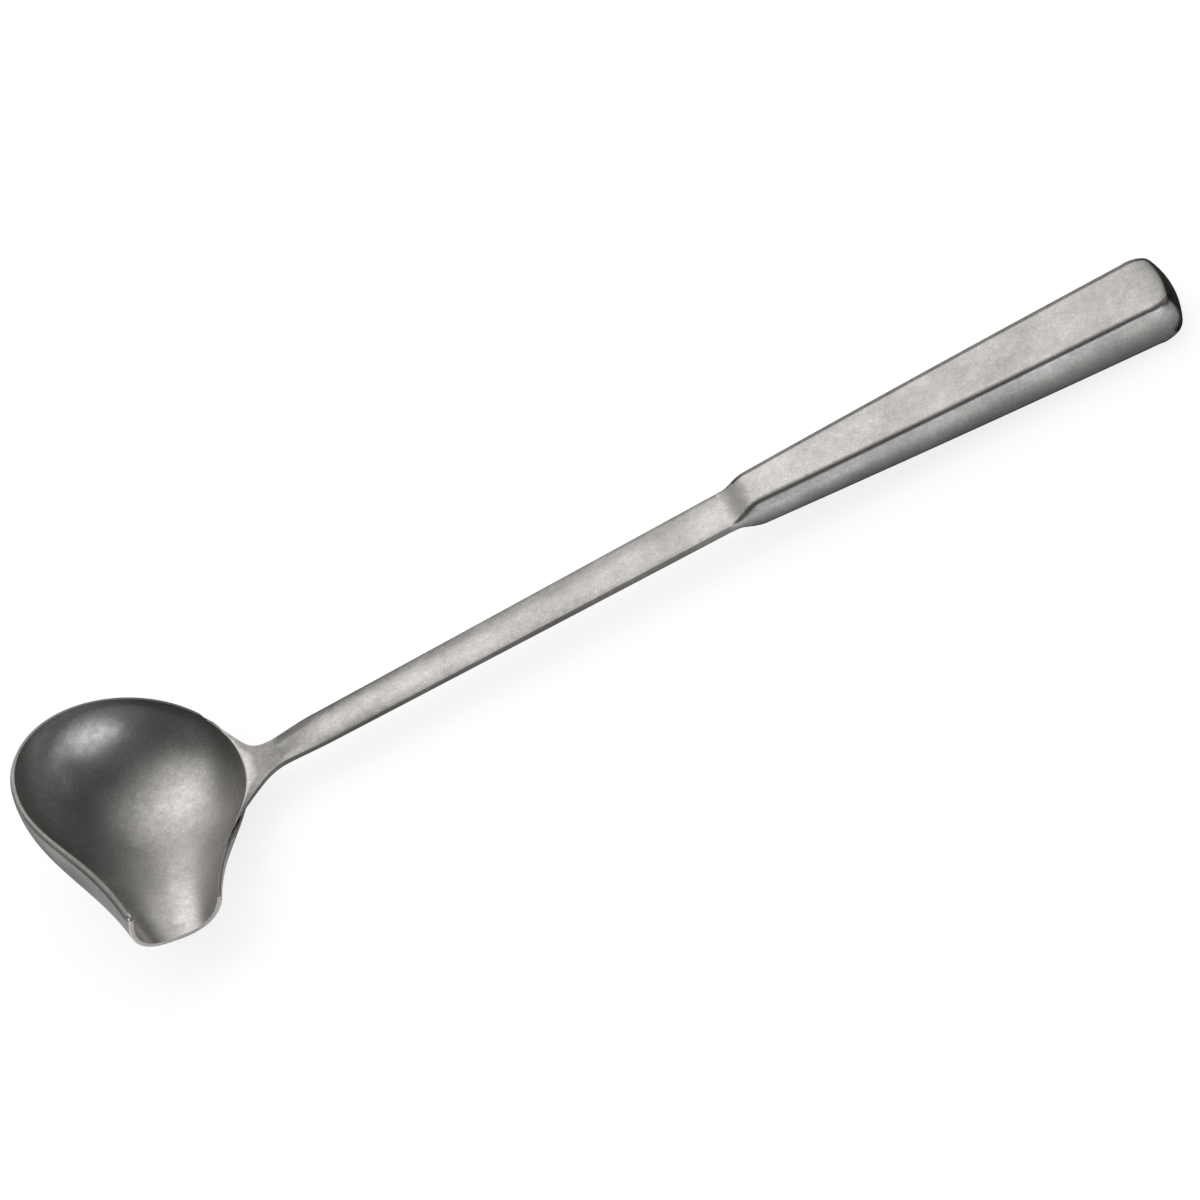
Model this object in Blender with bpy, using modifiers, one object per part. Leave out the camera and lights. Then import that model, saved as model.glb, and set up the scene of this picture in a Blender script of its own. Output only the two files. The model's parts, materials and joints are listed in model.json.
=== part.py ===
"""Gravy ladle: pressed bowl with a side pouring spout, flat shank, hollow two-shell handle.

The ladle is drawn in the frame of the bowl rim: origin at the centre of the round
rim, +X towards the handle, the spout towards -Y, +Z out of the bowl.  At the end it is
laid down the way it rests on a table, on the bowl bottom and the tail of the handle.
"""
import math

import bpy
import numpy as np
from mathutils import Matrix, Vector

MM = 0.001

# Bowl and spout
RIM_RADIUS = 27.7 * MM
BOWL_DEPTH = 19.3 * MM
BOWL_FULLNESS = 1.004
BOWL_WALL = 1.2 * MM
SPOUT_REACH = 47.7 * MM
SPOUT_WIDTH = 21.2 * MM
SPOUT_DEPTH = 9.9 * MM
SPOUT_TAPER = math.radians(11.1)
SPOUT_SKEW = math.radians(9.1)
SPOUT_LEAN = 0.13
SPOUT_FULLNESS = 2.8

# Neck and shank
HANDLE_OFFSET = 3.5 * MM
SHANK_RISE = math.radians(27.1)
SHANK_LENGTH = 110.2 * MM
SHANK_THICKNESS = 2.0 * MM
NECK_LENGTH = 18.6 * MM
NECK_HEIGHT = 10.7 * MM
NECK_WIDTH = 8.8 * MM
NECK_WAIST = 0.41
NEAR_FILLET_START = math.radians(-44.0)
FAR_FILLET_START = math.radians(46.0)
SHANK_WIDTH_NECK = 10.7 * MM
SHANK_WIDTH_HANDLE = 12.4 * MM
SHANK_CROWN = 0.7 * MM
TANG_LENGTH = 45.0 * MM
TANG_WIDTH = 8.0 * MM

# Handle
HANDLE_LENGTH = 121.4 * MM
HANDLE_DROOP = math.radians(1.9)
SHELL_WALL = 0.8 * MM
HANDLE_THICK_FRONT = 8.6 * MM
HANDLE_THICK_TAIL = 12.7 * MM
TOP_WIDTH_FRONT = 11.0 * MM
TOP_WIDTH_TAIL = 18.9 * MM
TOP_WIDTH_SWELL = 1.7 * MM
SIDE_BULGE = 1.6 * MM
TOP_EDGE_RADIUS = 1.6 * MM
RAMP_LENGTH = 9.2 * MM
TAIL_DOME = 2.3 * MM
TAIL_ROUND = 56.0 * MM
TAIL_EDGE_DEPTH = 4.4 * MM
TAIL_EDGE_SIDE = 2.3 * MM
TAIL_EDGE_TOP = 0.7 * MM

# Fits
FIT_GAP = 0.3 * MM
SEAM_BEAD = 0.6 * MM
WELD_CROWN = 0.1 * MM
WELD_SLOPE = 0.25 * MM
EDGE_CHAMFER = 0.2 * MM
RIM_BAND = 1.3 * MM

# Fineness of the surfaces
FLANK_COLUMNS = 10
NEAR_FILLET_COLUMNS = 9
NECK_COLUMNS = 6
FAR_FILLET_COLUMNS = 6
ROUND_COLUMNS = 42
LIP_COLUMNS = 14
BOWL_RINGS = 9
EDGE_ROWS = 4
TAIL_EDGE_RINGS = 6


def smoothstep(t):
    t = np.clip(t, 0.0, 1.0)
    return t * t * (3.0 - 2.0 * t)


def bezier(p0, p1, p2, p3, count):
    t = np.linspace(0.0, 1.0, count)[:, None]
    ends = (1 - t) ** 3 * np.array(p0) + t ** 3 * np.array(p3)
    pulls = 3 * (1 - t) ** 2 * t * np.array(p1) + 3 * (1 - t) * t ** 2 * np.array(p2)
    return ends + pulls


def along(curve, count):
    """Points at equal steps along a polyline, both ends included."""
    step = np.linalg.norm(np.diff(curve, axis=0), axis=1)
    length = np.concatenate([[0.0], np.cumsum(step)])
    wanted = np.linspace(0.0, length[-1], count)
    return np.column_stack([np.interp(wanted, length, curve[:, i]) for i in range(curve.shape[1])])


class Bowl:
    """Round dish drawn out to a spout, where its section turns into a fuller trough."""

    POLE = -0.2 * RIM_RADIUS
    FLANK_START = math.radians(7.2)
    FLANK_PULLS = (0.4, 0.495)
    PAST_LIP = 0.13 * SPOUT_REACH
    BEND = 0.22

    def __init__(self):
        self.half_rim = self.draw_half_rim()
        whole = np.vstack([self.half_rim[::-1], self.half_rim[1:] * [-1.0, 1.0]])
        self.angles = np.unwrap(np.arctan2(whole[:, 1] - self.POLE, whole[:, 0]))
        self.reaches = np.hypot(whole[:, 0], whole[:, 1] - self.POLE)
        self.right_corner = self.find_corner(self.angles[0], 0.0)
        self.left_corner = self.find_corner(self.angles[-1], math.pi)

    def draw_half_rim(self):
        """Right half of the rim, from the back of the bowl to just past the lip."""
        arc = np.linspace(math.pi / 2, self.FLANK_START, 200)
        round_part = np.column_stack([np.cos(arc), np.sin(arc)]) * RIM_RADIUS
        start = round_part[-1]
        leave = np.array([math.sin(self.FLANK_START), -math.cos(self.FLANK_START)])
        corner = np.array([SPOUT_WIDTH / 2, -SPOUT_REACH])
        arrive = np.array([-math.sin(SPOUT_TAPER), -math.cos(SPOUT_TAPER)])
        run = SPOUT_REACH + start[1]
        first, second = self.FLANK_PULLS
        flank = bezier(start, start + first * run * leave,
                       corner - second * run * arrive, corner, 200)
        return np.vstack([round_part, flank[1:], corner + self.PAST_LIP * arrive])

    def rim_reach(self, angle):
        turn = (angle - self.angles[0]) % (2 * math.pi)
        return float(np.interp(turn + self.angles[0], self.angles, self.reaches))

    def cut(self, angle):
        """Distance from the pole to the plane the spout is cut off in."""
        facing = math.tan(SPOUT_SKEW) * math.cos(angle) - math.sin(angle)
        return (SPOUT_REACH + self.POLE) / facing if facing > 1e-6 else 1.0

    def find_corner(self, inside, outside):
        for _ in range(60):
            angle = (inside + outside) / 2
            if self.rim_reach(angle) > self.cut(angle):
                inside = angle
            else:
                outside = angle
        return outside

    def outline(self, angle):
        """Distance from the pole to the rim, or to the lip in the mouth of the spout."""
        return min(self.rim_reach(angle), self.cut(angle))

    def half_width(self, y):
        if y > RIM_RADIUS * math.sin(self.FLANK_START):
            return math.sqrt(max(RIM_RADIUS ** 2 - y * y, 0.0))
        return float(np.interp(-y, -self.half_rim[:, 1], self.half_rim[:, 0]))

    def dish(self, ring):
        """Profile rounded like an egg: 1 in the middle, 0 at the rim."""
        rim_level = math.sqrt(BOWL_FULLNESS ** 2 - 1)
        level = math.sqrt(BOWL_FULLNESS ** 2 - min(ring, 1.0) ** 2)
        return max(0.0, level - rim_level) / (BOWL_FULLNESS - rim_level)

    def height(self, x, y):
        """Inside of the bowl, as a section of its own at each distance y from the middle."""
        out = max(0.0, -y / SPOUT_REACH)
        if y > 0:
            depth = BOWL_DEPTH * self.dish(y / RIM_RADIUS)
        else:
            climb = (math.hypot(out, self.BEND) - self.BEND) / (math.hypot(1, self.BEND) - self.BEND)
            depth = BOWL_DEPTH - (BOWL_DEPTH - SPOUT_DEPTH) * climb
        across = min(1.0, abs(x) / max(self.half_width(y), 0.001 * RIM_RADIUS))
        spout = float(smoothstep(out))
        power = 2 + (SPOUT_FULLNESS - 2) * spout
        lean = 1 - SPOUT_LEAN * spout * math.copysign(across, x)
        return -depth * lean * self.dish(across ** (power / 2)) ** (2 / power)

    def point(self, ring, angle):
        rim = self.outline(angle)
        reach = ring * ((1 - ring) * 0.95 * RIM_RADIUS + ring * rim)
        x = reach * math.cos(angle)
        y = self.POLE + reach * math.sin(angle)
        lift = neck_height(rim * math.cos(angle)) * ring ** 6
        return np.array([x, y, self.height(x, y) + lift])

    def rim_columns(self, first, last, count):
        """Angles that step evenly along the rim between two angles."""
        fine = np.linspace(first, last, 400)
        path = np.array([self.point(1.0, a) for a in fine])
        step = np.linalg.norm(np.diff(path, axis=0), axis=1)
        length = np.concatenate([[0.0], np.cumsum(step)])
        return np.interp(np.linspace(0.0, length[-1], count + 1), length, fine)


def neck_height(x):
    """Height of the neck's top face: level at the rim, on the shank's slope at its end."""
    foot = 0.895 * RIM_RADIUS
    end = RIM_RADIUS + NECK_LENGTH
    slope = math.tan(SHANK_RISE)
    if x > end:
        return NECK_HEIGHT + slope * (x - end)
    t = max(0.0, (x - foot) / (end - foot))
    return (3 * t * t - 2 * t ** 3) * NECK_HEIGHT + (t ** 3 - t * t) * (end - foot) * slope


def shank_point(s, y, n):
    """Point at a distance along the shank's top face, across it and above it."""
    c, k = math.cos(SHANK_RISE), math.sin(SHANK_RISE)
    x = RIM_RADIUS + NECK_LENGTH + s * c - n * k
    return np.array([x, y - HANDLE_OFFSET, NECK_HEIGHT + s * k + n * c])


def shank_half_width(s):
    share = s / SHANK_LENGTH
    width = SHANK_WIDTH_NECK + (SHANK_WIDTH_HANDLE - SHANK_WIDTH_NECK) * share
    into_handle = smoothstep((s - SHANK_LENGTH - 0.75 * RAMP_LENGTH) / (0.3 * RAMP_LENGTH))
    return ((1 - into_handle) * min(width, SHANK_WIDTH_HANDLE) + into_handle * TANG_WIDTH) / 2


def make_object(name, verts, faces, colour, parts):
    mesh = bpy.data.meshes.new(name)
    mesh.from_pydata([tuple(v) for v in verts], [], faces)
    mesh.update()
    mesh.shade_smooth()
    ob = bpy.data.objects.new(name, mesh)
    parts.objects.link(ob)
    paint(ob, colour)
    return ob


def paint(ob, colour):
    mat = bpy.data.materials.new(ob.name + "_steel")
    mat.use_nodes = True
    shader = mat.node_tree.nodes["Principled BSDF"]
    shader.inputs["Base Color"].default_value = (*colour, 1.0)
    shader.inputs["Metallic"].default_value = 1.0
    shader.inputs["Roughness"].default_value = 0.42
    ob.data.materials.append(mat)


def build_blank(parts):
    """Bowl, spout, neck, shank and tang as one sheet, thickened downwards."""
    bowl = Bowl()
    neck_x = RIM_RADIUS + NECK_WAIST * NECK_LENGTH
    half_neck = NECK_WIDTH / 2
    near_angle, far_angle = NEAR_FILLET_START, FAR_FILLET_START
    near_root = bowl.point(1.0, near_angle)[:2]
    far_root = bowl.point(1.0, far_angle)[:2]
    near_foot = np.array([neck_x, -HANDLE_OFFSET - half_neck])
    far_foot = np.array([neck_x, -HANDLE_OFFSET + half_neck])
    near_dir = bowl.point(1.0, near_angle + 0.01)[:2] - near_root
    far_dir = bowl.point(1.0, far_angle - 0.01)[:2] - far_root
    near_dir /= np.linalg.norm(near_dir)
    far_dir /= np.linalg.norm(far_dir)
    sweep = np.linalg.norm(near_foot - near_root)
    tuck = np.linalg.norm(far_foot - far_root)
    near_edge = bezier(near_root, near_root + 0.28 * sweep * near_dir,
                       near_foot - [0.2 * sweep, 0], near_foot, 80)
    far_edge = bezier(far_foot, far_foot - [0.33 * tuck, 0],
                      far_root + 0.7 * tuck * far_dir, far_root, 80)
    neck_line = np.linspace(near_foot, far_foot, NECK_COLUMNS + 1)

    inner_near, inner_far = math.radians(-3.7), math.radians(10.0)
    right, left = bowl.right_corner, bowl.left_corner
    columns = []
    for a in bowl.rim_columns(right, near_angle, FLANK_COLUMNS)[:-1]:
        columns.append((a, None))
    fillet = zip(np.linspace(near_angle, inner_near, NEAR_FILLET_COLUMNS + 1),
                 along(near_edge, NEAR_FILLET_COLUMNS + 1))
    columns += list(fillet)[:-1]
    neck_start = len(columns)
    columns += list(zip(np.linspace(inner_near, inner_far, NECK_COLUMNS + 1), neck_line))
    fillet = zip(np.linspace(inner_far, far_angle, FAR_FILLET_COLUMNS + 1),
                 along(far_edge, FAR_FILLET_COLUMNS + 1))
    columns += list(fillet)[1:-1]
    for a in bowl.rim_columns(far_angle, left, ROUND_COLUMNS)[:-1]:
        columns.append((a, None))
    for a in bowl.rim_columns(left, right + 2 * math.pi, LIP_COLUMNS)[:-1]:
        columns.append((a, None))

    verts = [bowl.point(0.0, 0.0)]
    rows = []
    for angle, outer in columns:
        rim = bowl.point(1.0, angle)
        flange = 0.0 if outer is None else float(np.linalg.norm(outer - rim[:2]))
        steep = np.linalg.norm(rim - bowl.point(0.98, angle)) / 0.02
        fold = 1 - max(0.0, RIM_BAND - flange) / steep
        row = []
        for k in range(1, BOWL_RINGS + 1):
            row.append(bowl.point(fold * math.sin(math.pi / 2 * k / BOWL_RINGS) ** 0.9, angle))
        wall = (1 - fold) * steep
        for k in range(1, EDGE_ROWS + 1):
            travel = (wall + flange) * k / EDGE_ROWS
            if travel <= wall or outer is None:
                row.append(bowl.point(fold + min(travel, wall) / steep, angle))
            else:
                spot = rim[:2] + (outer - rim[:2]) * (travel - wall) / flange
                row.append(np.array([spot[0], spot[1], neck_height(spot[0])]))
        rows.append([len(verts) + k for k in range(len(row))])
        verts += row

    faces = []
    count = len(rows)
    for j in range(count):
        here, there = rows[j], rows[(j + 1) % count]
        faces.append((0, here[0], there[0]))
        for k in range(len(here) - 1):
            faces.append((here[k], here[k + 1], there[k + 1], there[k]))

    edge = [rows[neck_start + i][-1] for i in range(NECK_COLUMNS + 1)]
    across = np.linspace(-1.0, 1.0, NECK_COLUMNS + 1)
    stations = [("neck", f) for f in np.linspace(NECK_WAIST, 1.0, 6)[1:-1]]
    stations += [("shank", f * SHANK_LENGTH) for f in np.linspace(0.0, 1.0, 10)]
    for f in (0.4, 0.75, 0.84, 0.93, 1.05, 2.0):
        stations.append(("shank", SHANK_LENGTH + f * RAMP_LENGTH))
    stations.append(("shank", SHANK_LENGTH + TANG_LENGTH))
    for kind, where in stations:
        row = []
        for a in across:
            if kind == "neck":
                share = (where - NECK_WAIST) / (1 - NECK_WAIST)
                half = (NECK_WIDTH + (SHANK_WIDTH_NECK - NECK_WIDTH) * smoothstep(share)) / 2
                x = RIM_RADIUS + where * NECK_LENGTH
                drop = SHANK_CROWN * smoothstep(share) * a * a
                spot = np.array([x, a * half - HANDLE_OFFSET, neck_height(x) - drop])
            else:
                fade = max(0.0, 1 - where / SHANK_LENGTH)
                spot = shank_point(where, a * shank_half_width(where), -SHANK_CROWN * fade * a * a)
            row.append(len(verts))
            verts.append(spot)
        for i in range(NECK_COLUMNS):
            faces.append((edge[i], row[i], row[i + 1], edge[i + 1]))
        edge = row

    ob = make_object("bowl_and_shank", verts, faces, (0.56, 0.55, 0.53), parts)
    group = ob.vertex_groups.new(name="sheet_thickness")
    thin = BOWL_WALL / SHANK_THICKNESS
    start, full = RIM_RADIUS, RIM_RADIUS + 1.2 * NECK_LENGTH
    for i, v in enumerate(verts):
        share = float(smoothstep((v[0] - start) / (full - start))) if v[2] > -RIM_BAND else 0.0
        group.add([i], thin + (1 - thin) * share, "REPLACE")
    solid = ob.modifiers.new("sheet", "SOLIDIFY")
    solid.thickness = SHANK_THICKNESS
    solid.offset = -1.0
    solid.vertex_group = group.name
    solid.thickness_vertex_group = 0.0
    bevel = ob.modifiers.new("broken edges", "BEVEL")
    bevel.width = EDGE_CHAMFER
    bevel.segments = 1
    bevel.limit_method = "ANGLE"
    bevel.angle_limit = math.radians(60)
    return ob


class Handle:
    """Outside of the hollow handle about its own axis: u along, y across, n up."""

    LIP = 0.58 * RAMP_LENGTH
    EDGE_STEP = 1.05 * RAMP_LENGTH

    def half_height(self, u):
        share = (u - RAMP_LENGTH) / (HANDLE_LENGTH - RAMP_LENGTH)
        full = (HANDLE_THICK_FRONT + (HANDLE_THICK_TAIL - HANDLE_THICK_FRONT) * share) / 2
        foot = SHANK_THICKNESS / 2
        return foot + (full - foot) * float(smoothstep(u / RAMP_LENGTH))

    def half_top(self, u):
        share = max(0.0, (u - RAMP_LENGTH) / (HANDLE_LENGTH - RAMP_LENGTH))
        width = TOP_WIDTH_FRONT + (TOP_WIDTH_TAIL - TOP_WIDTH_FRONT) * share
        width += 2 * TOP_WIDTH_SWELL * share * (1 - share)
        ramp = float(smoothstep(u / RAMP_LENGTH))
        return ((1 - ramp) * SHANK_WIDTH_HANDLE + ramp * width) / 2

    def bulge(self, u):
        return SIDE_BULGE * float(smoothstep(u / RAMP_LENGTH))

    def over_shank(self, u):
        """Level that clears the shank, which the drooping axis leaves as it goes back."""
        return SHANK_THICKNESS / 2 + FIT_GAP + u * math.sin(HANDLE_DROOP)

    def parting(self, u):
        """Level of a shell's edge: over the shank at the mouth, at the seam behind it."""
        clear = self.over_shank(min(u, self.EDGE_STEP))
        at_seam = SEAM_BEAD / 2 + FIT_GAP
        share = float(smoothstep((u - self.EDGE_STEP) / (0.3 * RAMP_LENGTH)))
        return clear + (at_seam - clear) * share

    def side(self, u, n):
        bow = 1 - (n / self.half_height(u)) ** 2
        return self.half_top(u) + self.bulge(u) * bow

    def profile(self, u):
        """Half section of a shell from its edge to the middle of the flat top."""
        low, high = self.parting(u), self.half_height(u)
        turn = min(TOP_EDGE_RADIUS, 0.8 * (high - low))
        points = []
        for f in (0.0, 0.35, 0.7, 1.0):
            n = low + (high - turn - low) * f
            points.append((self.side(u, n), n))
        shoulder = self.side(u, high - turn)
        points.append((shoulder - 0.1 * turn, high - 0.62 * turn))
        points.append((shoulder - 0.38 * turn, high - 0.24 * turn))
        points.append((shoulder - 0.95 * turn, high))
        points.append((0.0, high))
        return points

    def tail(self, y, n):
        """Domed end of the handle."""
        lift = HANDLE_THICK_TAIL / 2
        return HANDLE_LENGTH - y * y / TAIL_ROUND - TAIL_DOME * (n / lift) ** 2

    def tail_rings(self):
        """Shares of width and height, and set-back, of the rings that close the tail."""
        wide, lift = self.side(HANDLE_LENGTH, 0.0), HANDLE_THICK_TAIL / 2
        rings = []
        for k in range(TAIL_EDGE_RINGS):
            turn = math.pi / 2 * k / (TAIL_EDGE_RINGS - 1)
            inset = 1 - math.cos(turn)
            back = TAIL_EDGE_DEPTH * (1 - math.sin(turn))
            rings.append((1 - inset * TAIL_EDGE_SIDE / wide, 1 - inset * TAIL_EDGE_TOP / lift, back))
        across, up, _ = rings[-1]
        for share in (0.72, 0.38, 0.0):
            rings.append((across * share, up * share, 0.0))
        return rings

    def stations(self):
        front = [self.LIP, 0.7 * RAMP_LENGTH, 0.82 * RAMP_LENGTH, 0.92 * RAMP_LENGTH, RAMP_LENGTH,
                 self.EDGE_STEP, 1.15 * RAMP_LENGTH, 1.25 * RAMP_LENGTH, 1.35 * RAMP_LENGTH]
        body = np.linspace(1.9 * RAMP_LENGTH, HANDLE_LENGTH - 2 * TAIL_EDGE_DEPTH, 7)
        return front + list(body)

    def place(self, u, y, n):
        """From the handle's own axis to the frame of the bowl rim."""
        c, k = math.cos(HANDLE_DROOP), math.sin(HANDLE_DROOP)
        s = SHANK_LENGTH + u * c + n * k
        return shank_point(s, y, -SHANK_THICKNESS / 2 - u * k + n * c)


def build_shell(name, handle, turned, parts):
    """One stamped half; the lower one is the same half turned over about the axis."""
    side = -1.0 if turned else 1.0
    rows = []
    for u in handle.stations():
        half = handle.profile(u)
        rows.append([(u, y, n) for y, n in half] + [(u, -y, n) for y, n in half[-2::-1]])
    edge = SEAM_BEAD / 2 + FIT_GAP
    section = rows[-1]
    last_u = section[0][0]
    grow = handle.half_top(HANDLE_LENGTH) / handle.half_top(last_u)
    for fy, fn, back in handle.tail_rings():
        ring = []
        for _, y, n in section:
            y2 = y * fy * grow
            n2 = edge + (n - edge) * fn
            ring.append((handle.tail(y2, n2) - back, y2, n2))
        rows.append(ring)
    verts, index = [], []
    for row in rows[:-1]:
        index.append([len(verts) + i for i in range(len(row))])
        verts += [handle.place(u, side * y, side * n) for u, y, n in row]
    middle = len(verts)
    u, y, n = rows[-1][0]
    verts.append(handle.place(u, 0.0, side * n))
    faces = []
    for here, there in zip(index[:-1], index[1:]):
        for i in range(len(here) - 1):
            faces.append((here[i], here[i + 1], there[i + 1], there[i]))
    for i in range(len(index[-1]) - 1):
        faces.append((index[-1][i], index[-1][i + 1], middle))
    ob = make_object(name, verts, faces, (0.58, 0.57, 0.55), parts)
    solid = ob.modifiers.new("wall", "SOLIDIFY")
    solid.thickness = SHELL_WALL
    solid.offset = -1.0
    return ob


def build_seam(handle, parts):
    """Bead between the edges of the two shells, up one side, round the tail and back."""
    path = []
    for u in handle.stations():
        if u > 1.3 * RAMP_LENGTH:
            path.append((u, handle.side(u, 0.0)))
    grow = handle.half_top(HANDLE_LENGTH) / handle.half_top(path[-1][0])
    wide = path[-1][1]
    for fy, _, back in handle.tail_rings():
        y = wide * grow * fy
        path.append((handle.tail(y, 0.0) - back, y))
    path += [(u, -y) for u, y in path[-2::-1]]
    verts, faces = [], []
    for u, y in path:
        verts.append(handle.place(u, y, -SEAM_BEAD / 2))
        verts.append(handle.place(u, y, SEAM_BEAD / 2))
    for i in range(len(path) - 1):
        faces.append((2 * i, 2 * i + 1, 2 * i + 3, 2 * i + 2))
    ob = make_object("handle_seam_weld", verts, faces, (0.55, 0.54, 0.52), parts)
    solid = ob.modifiers.new("bead", "SOLIDIFY")
    solid.thickness = SHELL_WALL
    solid.offset = -1.0
    return ob


def build_mouth(name, handle, turned, parts):
    """Fillet of weld metal that carries the ramp of a shell down on to the shank."""
    side = -1.0 if turned else 1.0
    slope = (handle.half_height(handle.LIP) - handle.half_height(0.8 * handle.LIP)) / (0.2 * handle.LIP)
    back = handle.LIP - FIT_GAP * (1 + slope)
    verts = []
    for f in (0.34, 0.5, 0.66, 0.83, 1.0):
        u = back * f
        floor = handle.over_shank(u)
        half = handle.half_top(u) - WELD_CROWN
        top = max(handle.half_height(u), floor + WELD_CROWN) + WELD_CROWN
        lean = (u - FIT_GAP * slope * 0.5) if f == 1.0 else u
        for y, n, w in ((half, floor, u), (half - WELD_SLOPE, top, lean),
                        (-half + WELD_SLOPE, top, lean), (-half, floor, u)):
            verts.append(handle.place(w, side * y, side * n))
    faces = [(3, 2, 1, 0), (16, 17, 18, 19)]
    for i in range(4):
        for k in range(4):
            a, b = 4 * i + k, 4 * i + (k + 1) % 4
            faces.append((a, b, b + 4, a + 4))
    return make_object(name, verts, faces, (0.55, 0.54, 0.52), parts)


def outside_points(ob):
    graph = bpy.context.evaluated_depsgraph_get()
    solid = ob.evaluated_get(graph)
    return np.array([tuple(v.co) for v in solid.to_mesh().vertices])


def lay_on_table(pieces):
    """Turn the ladle until bowl and handle tail rest on one level, then centre it."""
    clouds = {ob.name: outside_points(ob) for ob in pieces}
    blank = clouds["bowl_and_shank"]
    bowl = blank[blank[:, 0] < RIM_RADIUS]
    tail = clouds["handle_lower_shell"]
    low, high = 0.0, math.radians(60)
    for _ in range(60):
        tilt = (low + high) / 2
        c, k = math.cos(tilt), math.sin(tilt)
        if (tail[:, 2] * c - tail[:, 0] * k).min() > (bowl[:, 2] * c - bowl[:, 0] * k).min():
            low = tilt
        else:
            high = tilt
    turn = Matrix.Rotation(tilt, 4, "Y")
    spin = np.array(turn.to_3x3())
    cloud = np.vstack(list(clouds.values())) @ spin.T
    lowest, highest = cloud.min(axis=0), cloud.max(axis=0)
    shift = Vector((-(lowest[0] + highest[0]) / 2, -(lowest[1] + highest[1]) / 2, -lowest[2]))
    for ob in pieces:
        ob.data.transform(Matrix.Translation(shift) @ turn)
        ob.data.update()


def main():
    for ob in list(bpy.data.objects):
        bpy.data.objects.remove(ob, do_unlink=True)
    parts = bpy.data.collections.new("gravy_ladle")
    bpy.context.scene.collection.children.link(parts)
    handle = Handle()
    pieces = [
        build_blank(parts),
        build_shell("handle_upper_shell", handle, False, parts),
        build_shell("handle_lower_shell", handle, True, parts),
        build_seam(handle, parts),
        build_mouth("mouth_weld_upper", handle, False, parts),
        build_mouth("mouth_weld_lower", handle, True, parts),
    ]
    bpy.context.view_layer.update()
    lay_on_table(pieces)


main()
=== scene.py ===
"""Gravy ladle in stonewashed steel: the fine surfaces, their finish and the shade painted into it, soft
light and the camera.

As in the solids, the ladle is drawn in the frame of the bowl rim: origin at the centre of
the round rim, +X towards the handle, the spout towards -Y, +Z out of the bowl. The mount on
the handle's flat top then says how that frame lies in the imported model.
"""
import json
import math

import bpy
import numpy as np
from mathutils import Matrix, Vector


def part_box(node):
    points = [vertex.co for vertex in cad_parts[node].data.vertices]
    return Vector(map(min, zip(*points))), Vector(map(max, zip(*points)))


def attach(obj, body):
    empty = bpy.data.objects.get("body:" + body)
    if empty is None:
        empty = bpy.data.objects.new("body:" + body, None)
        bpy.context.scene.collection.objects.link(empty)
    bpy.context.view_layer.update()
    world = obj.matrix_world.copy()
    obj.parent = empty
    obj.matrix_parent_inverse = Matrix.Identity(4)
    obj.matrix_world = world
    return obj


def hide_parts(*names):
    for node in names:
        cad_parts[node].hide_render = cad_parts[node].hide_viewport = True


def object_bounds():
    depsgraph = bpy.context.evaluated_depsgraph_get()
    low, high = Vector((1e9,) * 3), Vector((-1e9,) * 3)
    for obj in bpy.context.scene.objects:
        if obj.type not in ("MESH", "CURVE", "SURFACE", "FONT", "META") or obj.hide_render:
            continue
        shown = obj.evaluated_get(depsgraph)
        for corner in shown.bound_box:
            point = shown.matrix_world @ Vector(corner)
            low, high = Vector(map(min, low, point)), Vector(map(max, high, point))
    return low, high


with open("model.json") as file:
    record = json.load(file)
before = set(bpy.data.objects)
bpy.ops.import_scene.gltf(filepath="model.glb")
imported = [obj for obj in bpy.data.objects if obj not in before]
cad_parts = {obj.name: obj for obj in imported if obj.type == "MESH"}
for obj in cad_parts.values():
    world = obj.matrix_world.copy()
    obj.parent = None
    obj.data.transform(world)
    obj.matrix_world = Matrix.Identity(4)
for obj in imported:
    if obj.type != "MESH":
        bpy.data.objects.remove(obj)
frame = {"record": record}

cad_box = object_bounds()

MM = 0.001

# Bowl and spout
RIM_RADIUS = 27.7 * MM
BOWL_DEPTH = 19.3 * MM
BOWL_FULLNESS = 1.004
BOWL_WALL = 1.2 * MM
SPOUT_REACH = 47.7 * MM
SPOUT_WIDTH = 21.2 * MM
SPOUT_DEPTH = 9.9 * MM
SPOUT_TAPER = math.radians(11.1)
SPOUT_SKEW = math.radians(9.1)
SPOUT_LEAN = 0.13
SPOUT_FULLNESS = 2.8
POLE_SPREAD = 0.95
NECK_LIFT_POWER = 6

# Neck and shank
HANDLE_OFFSET = 3.5 * MM
SHANK_RISE = math.radians(27.1)
SHANK_LENGTH = 110.2 * MM
SHANK_THICKNESS = 2.0 * MM
NECK_LENGTH = 18.6 * MM
NECK_HEIGHT = 10.7 * MM
NECK_WIDTH = 8.8 * MM
NECK_WAIST = 0.41
NECK_FOOT = 0.895
NEAR_FILLET_START = math.radians(-54.0)
FAR_FILLET_START = math.radians(46.0)
NEAR_FILLET_PULLS = (0.28, 0.2)
FAR_FILLET_PULLS = (0.33, 0.7)
NEAR_NECK_ANGLE = math.radians(-3.7)
FAR_NECK_ANGLE = math.radians(10.0)
SHANK_WIDTH_NECK = 10.7 * MM
SHANK_WIDTH_HANDLE = 12.4 * MM
SHANK_CROWN = 1.2 * MM
CROWN_LIFT = 0.25
SHANK_TUCK = 0.7
FULL_SHEET_AT = 1.2

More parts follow.
